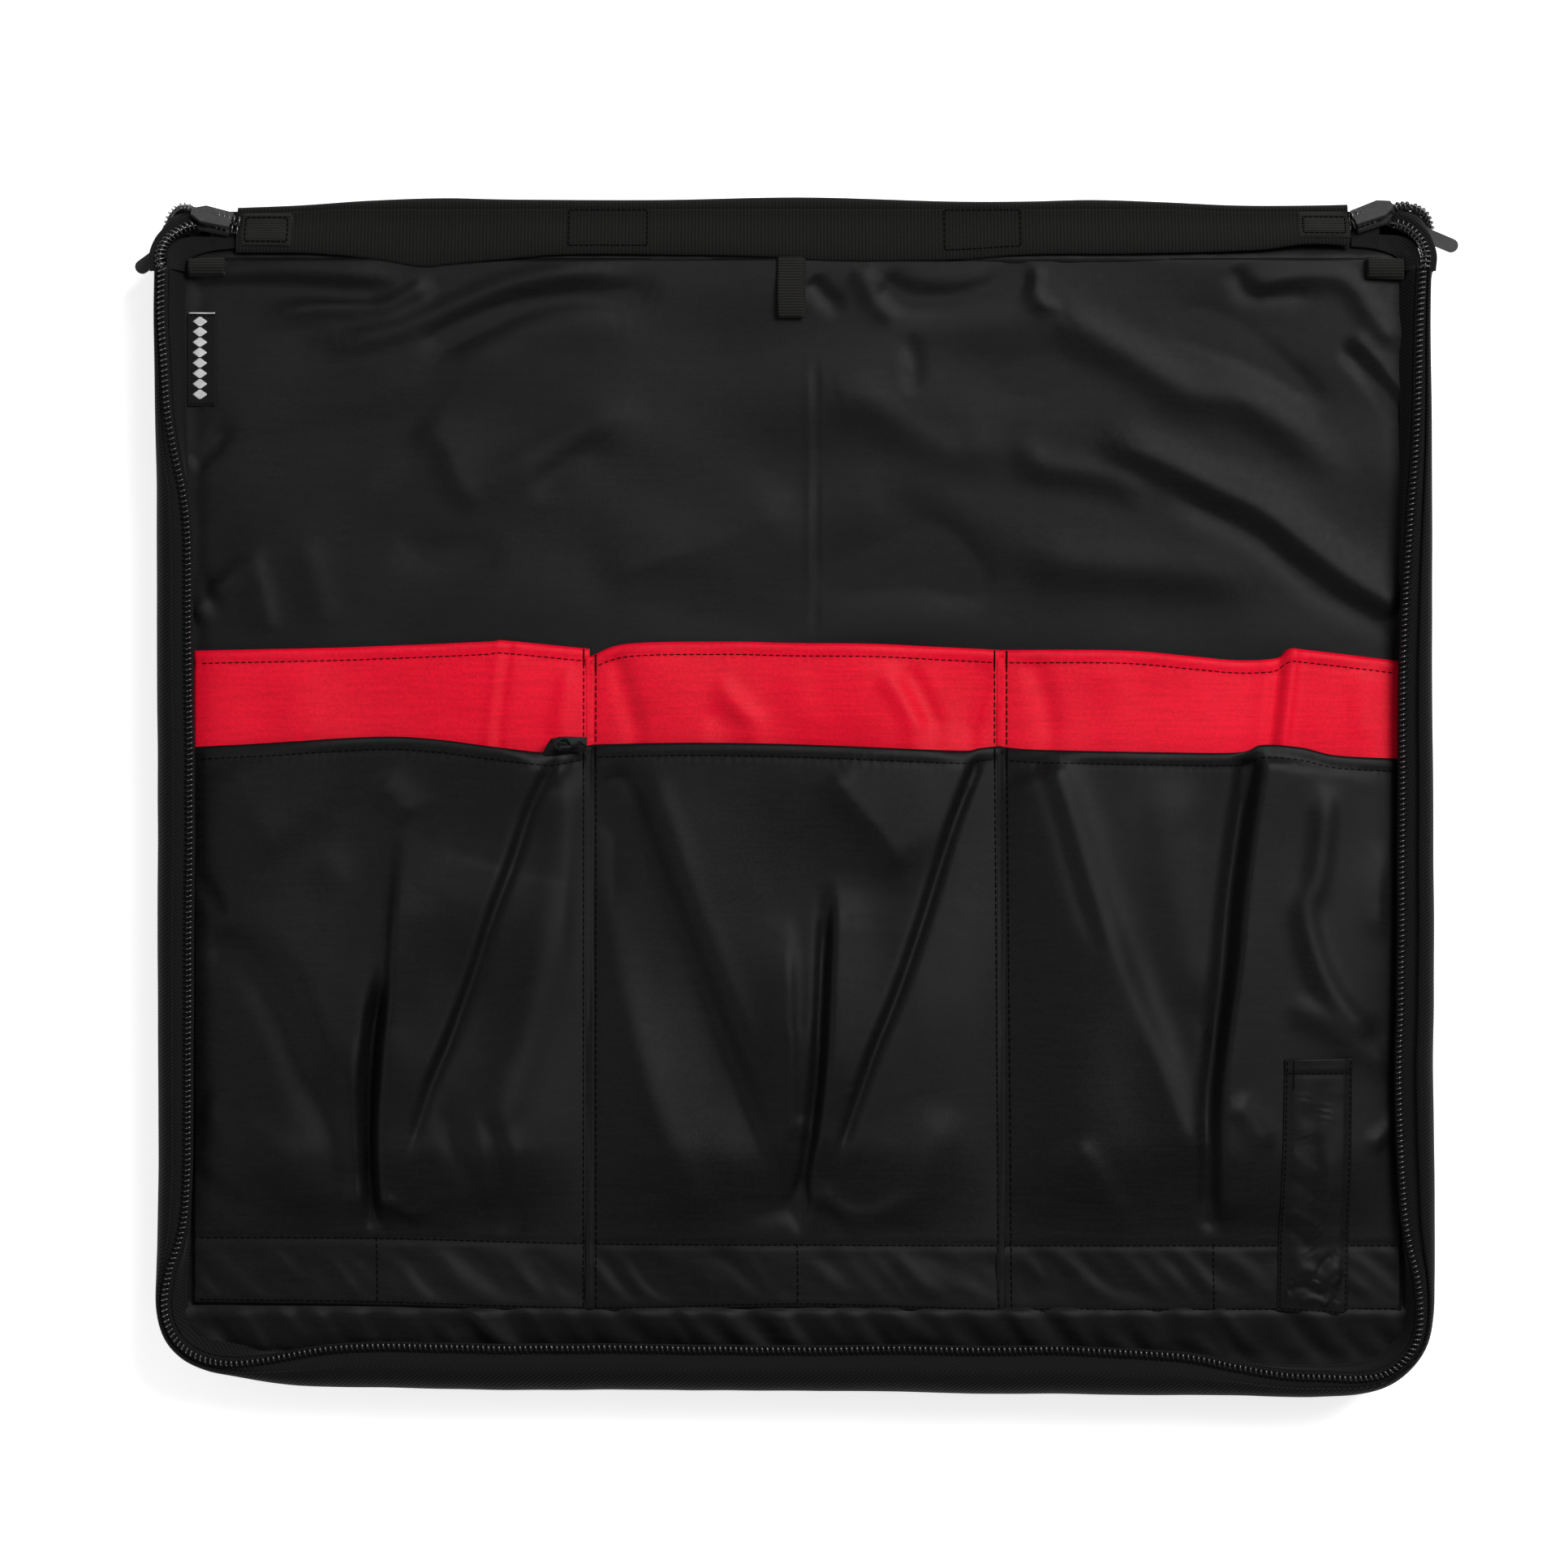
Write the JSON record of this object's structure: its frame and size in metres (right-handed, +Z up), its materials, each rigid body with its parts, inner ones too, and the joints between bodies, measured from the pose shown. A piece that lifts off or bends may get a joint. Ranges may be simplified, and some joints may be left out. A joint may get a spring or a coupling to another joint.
{
  "type": "zip-around mallet bag",
  "caption": "Flat padded zip-around bag for drumsticks and mallets, lying open and folded back on its spine, with layered stick pockets, hang loops and double zip sliders.",
  "frame": {"origin": "centre of the whole bag's footprint, on the surface it lies on", "axes": "+X to the right along the spine (longest extent), +Y across the leaf towards the spine, +Z up, away from the surface, through the stack of two leaves (shortest extent)"},
  "size_m": [0.523, 0.4686, 0.044],
  "materials": {
    "shell_nylon": "woven nylon, matt",
    "foam_white": "closed cell foam sheet",
    "lining_nylon": "fine taffeta with a soft sheen",
    "red_nylon": "fine taffeta with a satin sheen",
    "twill_tape": "woven twill",
    "coil_nylon": "smooth monofilament",
    "webbing": "ribbed webbing",
    "label_weave": "woven label, plain",
    "slider_metal": "dark grey enamel",
    "pull_metal": "dark grey enamel, worn"
  },
  "bodies": {
    "front_half": {"front_shell": "shell_nylon", "front_foam": "foam_white", "front_lining": "lining_nylon", "front_gusset": "twill_tape", "front_zip_tape": "twill_tape", "front_zip_coil": "coil_nylon", "red_rear_pockets": "red_nylon", "black_front_pockets": "lining_nylon", "pen_pocket": "lining_nylon", "woven_label": "label_weave"},
    "spine_front_half": {"spine_front": "webbing", "carry_handle": "webbing", "left_chain_end": "coil_nylon", "left_zip_end_tab": "webbing", "right_chain_end": "coil_nylon", "right_zip_end_tab": "webbing"},
    "spine_rear_half": {"spine_rear": "webbing"},
    "back_half": {"back_shell": "shell_nylon", "back_foam": "foam_white", "back_lining": "lining_nylon", "back_gusset": "twill_tape", "back_zip_tape": "twill_tape", "back_zip_coil": "coil_nylon"},
    "left_slider_body": {"left_slider": "slider_metal"},
    "left_pull_body": {"left_pull": "pull_metal"},
    "right_slider_body": {"right_slider": "slider_metal"},
    "right_pull_body": {"right_pull": "pull_metal"},
    "centre_loop_body": {"centre_hang_loop": "webbing"},
    "left_loop_body": {"left_hang_loop": "webbing"},
    "right_loop_body": {"right_hang_loop": "webbing"}
  },
  "joints": [
    {"name": "front_seam_fold", "type": "hinge", "parent": "front_half", "child": "spine_front_half", "pos_m": [-0.00039, 0.21142, 0.0217], "axis": [1, 0, 0], "range_deg": [0, 90]},
    {"name": "spine_fold", "type": "hinge", "parent": "spine_front_half", "child": "spine_rear_half", "pos_m": [-0.00039, 0.23102, 0.0183], "axis": [1, 0, 0], "range_deg": [0, 180]},
    {"name": "back_seam_fold", "type": "hinge", "parent": "spine_rear_half", "child": "back_half", "pos_m": [-0.00039, 0.21142, 0.0149], "axis": [1, 0, 0], "range_deg": [0, 90]},
    {"name": "left_slider_travel", "type": "slide", "parent": "spine_front_half", "child": "left_slider_body", "axis": [-0.9744, 0.225, 0], "range_m": [0, 0.008]},
    {"name": "right_slider_travel", "type": "slide", "parent": "spine_front_half", "child": "right_slider_body", "axis": [0.9397, 0.342, 0], "range_m": [0, 0.008]},
    {"name": "left_pull_swing", "type": "hinge", "parent": "left_slider_body", "child": "left_pull_body", "pos_m": [-0.23351, 0.227, 0.01695], "axis": [0, 0, 1], "range_deg": [-60, 14]},
    {"name": "right_pull_swing", "type": "hinge", "parent": "right_slider_body", "child": "right_pull_body", "pos_m": [0.23003, 0.22925, 0.01695], "axis": [0, 0, 1], "range_deg": [-24, 60]},
    {"name": "centre_loop_lift", "type": "hinge", "parent": "front_half", "child": "centre_loop_body", "pos_m": [-0.00239, 0.21052, 0.0239], "axis": [1, 0, 0], "range_deg": [-90, 0]},
    {"name": "left_loop_lift", "type": "hinge", "parent": "front_half", "child": "left_loop_body", "pos_m": [-0.23189, 0.20872, 0.0239], "axis": [1, 0, 0], "range_deg": [-90, 0]},
    {"name": "right_loop_lift", "type": "hinge", "parent": "front_half", "child": "right_loop_body", "pos_m": [0.23111, 0.20872, 0.0239], "axis": [1, 0, 0], "range_deg": [-90, 0]}
  ]
}
